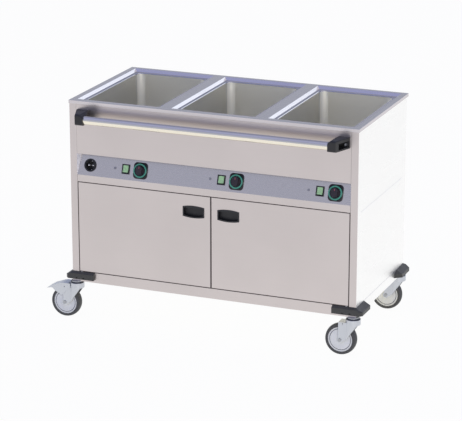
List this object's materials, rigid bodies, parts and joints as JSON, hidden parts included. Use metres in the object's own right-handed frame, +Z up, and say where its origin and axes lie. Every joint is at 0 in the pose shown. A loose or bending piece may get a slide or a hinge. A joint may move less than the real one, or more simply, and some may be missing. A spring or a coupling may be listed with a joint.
{
  "type": "heated serving trolley",
  "caption": "Stainless steel heated serving trolley: sunk wells, sloping control panel, push bar, double-door cupboard and swivel castors, some with brake pedals.",
  "frame": {"origin": "on the floor, under the middle of the trolley's overall box", "axes": "+X along the worktop to the right, +Y to the back (the doors face -Y), +Z up"},
  "size_m": [1.333, 0.6866, 0.9],
  "materials": {
    "stainless": "satin",
    "well_steel": "satin",
    "polished_tube": "polished",
    "zinc": "bright zinc plated",
    "dark_plastic": "fine grained",
    "black_plastic": "matte",
    "knob_green": "satin",
    "rocker_green": "translucent",
    "lamp": "clear, unlit",
    "heater": "oxidised",
    "brass": "plain",
    "red_plastic": "satin",
    "white_plastic": "satin",
    "grey_plastic": "satin",
    "tyre_grey": "smooth"
  },
  "bodies": {
    "cabinet": {"worktop": "stainless", "well_left": "well_steel", "well_middle": "well_steel", "well_right": "well_steel", "heating_elements": "heater", "drain_manifold": "brass", "upper_front_panel": "stainless", "control_panel": "stainless", "header_rail": "stainless", "front_posts": "stainless", "rear_posts": "stainless", "upper_side_panels": "stainless", "lower_side_panels": "stainless", "back_panel": "stainless", "cupboard_ceiling": "stainless", "cupboard_floor": "stainless", "base_frame": "stainless", "front_bumpers": "dark_plastic", "rear_bumpers": "dark_plastic", "push_bar": "polished_tube", "bar_brackets": "dark_plastic", "bar_screws": "zinc", "hinge_pins": "zinc", "door_catches": "white_plastic", "dial_plates": "black_plastic", "thermostats": "grey_plastic", "switch_frames": "black_plastic", "signal_lamps": "lamp", "power_inlet": "black_plastic", "inlet_pins": "zinc", "castor_stems": "zinc"},
    "right_door": {"right_door": "stainless", "right_door_pull": "black_plastic"},
    "left_door": {"left_door": "stainless", "left_door_pull": "black_plastic"},
    "knob_left": {"knob_left": "knob_green"},
    "knob_middle": {"knob_middle": "knob_green"},
    "knob_right": {"knob_right": "knob_green"},
    "rocker_left": {"rocker_left": "rocker_green"},
    "rocker_middle": {"rocker_middle": "rocker_green"},
    "rocker_right": {"rocker_right": "rocker_green"},
    "drain_lever": {"drain_lever": "red_plastic"},
    "castor_front_left": {"fork_front_left": "zinc", "axle_front_left": "zinc"},
    "wheel_front_left": {"tyre_front_left": "tyre_grey", "wheel_front_left": "grey_plastic"},
    "castor_front_right": {"fork_front_right": "zinc", "axle_front_right": "zinc"},
    "wheel_front_right": {"tyre_front_right": "tyre_grey", "wheel_front_right": "grey_plastic"},
    "castor_rear_left": {"fork_rear_left": "zinc", "axle_rear_left": "zinc"},
    "wheel_rear_left": {"tyre_rear_left": "tyre_grey", "wheel_rear_left": "grey_plastic"},
    "castor_rear_right": {"fork_rear_right": "zinc", "axle_rear_right": "zinc"},
    "wheel_rear_right": {"tyre_rear_right": "tyre_grey", "wheel_rear_right": "grey_plastic"},
    "brake_pedal_front": {"brake_pedal_front": "zinc"},
    "brake_pedal_rear": {"brake_pedal_rear": "zinc"}
  },
  "joints": [
    {"name": "left_door_hinge", "type": "hinge", "parent": "cabinet", "child": "left_door", "pos_m": [-0.517, -0.25425, 0.3845], "axis": [0, 0, -1], "range_deg": [0, 110]},
    {"name": "right_door_hinge", "type": "hinge", "parent": "cabinet", "child": "right_door", "pos_m": [0.6, -0.25425, 0.3845], "axis": [0, 0, 1], "range_deg": [0, 110]},
    {"name": "knob_left_turn", "type": "hinge", "parent": "cabinet", "child": "knob_left", "pos_m": [-0.2595, -0.24913, 0.64048], "axis": [0, 0.9537, -0.3007], "range_deg": [0, 270]},
    {"name": "knob_middle_turn", "type": "hinge", "parent": "cabinet", "child": "knob_middle", "pos_m": [0.1435, -0.24913, 0.64048], "axis": [0, 0.9537, -0.3007], "range_deg": [0, 270]},
    {"name": "knob_right_turn", "type": "hinge", "parent": "cabinet", "child": "knob_right", "pos_m": [0.5465, -0.24913, 0.64048], "axis": [0, 0.9537, -0.3007], "range_deg": [0, 270]},
    {"name": "rocker_left_tilt", "type": "hinge", "parent": "cabinet", "child": "rocker_left", "pos_m": [-0.322, -0.24246, 0.63838], "axis": [1, 0, 0], "range_deg": [0, 14]},
    {"name": "rocker_middle_tilt", "type": "hinge", "parent": "cabinet", "child": "rocker_middle", "pos_m": [0.081, -0.24246, 0.63838], "axis": [1, 0, 0], "range_deg": [0, 14]},
    {"name": "rocker_right_tilt", "type": "hinge", "parent": "cabinet", "child": "rocker_right", "pos_m": [0.484, -0.24246, 0.63838], "axis": [1, 0, 0], "range_deg": [0, 14]},
    {"name": "drain_lever_turn", "type": "hinge", "parent": "cabinet", "child": "drain_lever", "pos_m": [0.0415, 0.21925, 0.54], "axis": [0, 1, 0], "range_deg": [0, 90]},
    {"name": "castor_front_left_swivel", "type": "hinge", "parent": "cabinet", "child": "castor_front_left", "pos_m": [-0.5425, -0.24975, 0.137], "axis": [0, 0, 1], "continuous": true},
    {"name": "wheel_front_left_roll", "type": "hinge", "parent": "castor_front_left", "child": "wheel_front_left", "pos_m": [-0.5895, -0.24975, 0.0625], "axis": [0, 1, 0], "continuous": true},
    {"name": "castor_front_right_swivel", "type": "hinge", "parent": "cabinet", "child": "castor_front_right", "pos_m": [0.6255, -0.24975, 0.137], "axis": [0, 0, 1], "continuous": true},
    {"name": "wheel_front_right_roll", "type": "hinge", "parent": "castor_front_right", "child": "wheel_front_right", "pos_m": [0.5785, -0.24975, 0.0625], "axis": [0, 1, 0], "continuous": true},
    {"name": "castor_rear_left_swivel", "type": "hinge", "parent": "cabinet", "child": "castor_rear_left", "pos_m": [-0.5425, 0.31425, 0.137], "axis": [0, 0, 1], "continuous": true},
    {"name": "wheel_rear_left_roll", "type": "hinge", "parent": "castor_rear_left", "child": "wheel_rear_left", "pos_m": [-0.5895, 0.31425, 0.0625], "axis": [0, 1, 0], "continuous": true},
    {"name": "castor_rear_right_swivel", "type": "hinge", "parent": "cabinet", "child": "castor_rear_right", "pos_m": [0.6255, 0.31425, 0.137], "axis": [0, 0, 1], "continuous": true},
    {"name": "wheel_rear_right_roll", "type": "hinge", "parent": "castor_rear_right", "child": "wheel_rear_right", "pos_m": [0.5785, 0.31425, 0.0625], "axis": [0, 1, 0], "continuous": true},
    {"name": "brake_pedal_front_press", "type": "hinge", "parent": "castor_front_left", "child": "brake_pedal_front", "pos_m": [-0.5885, -0.24975, 0.1295], "axis": [0, -1, 0], "range_deg": [0, 10]},
    {"name": "brake_pedal_rear_press", "type": "hinge", "parent": "castor_rear_left", "child": "brake_pedal_rear", "pos_m": [-0.5885, 0.31425, 0.1295], "axis": [0, -1, 0], "range_deg": [0, 10]}
  ]
}
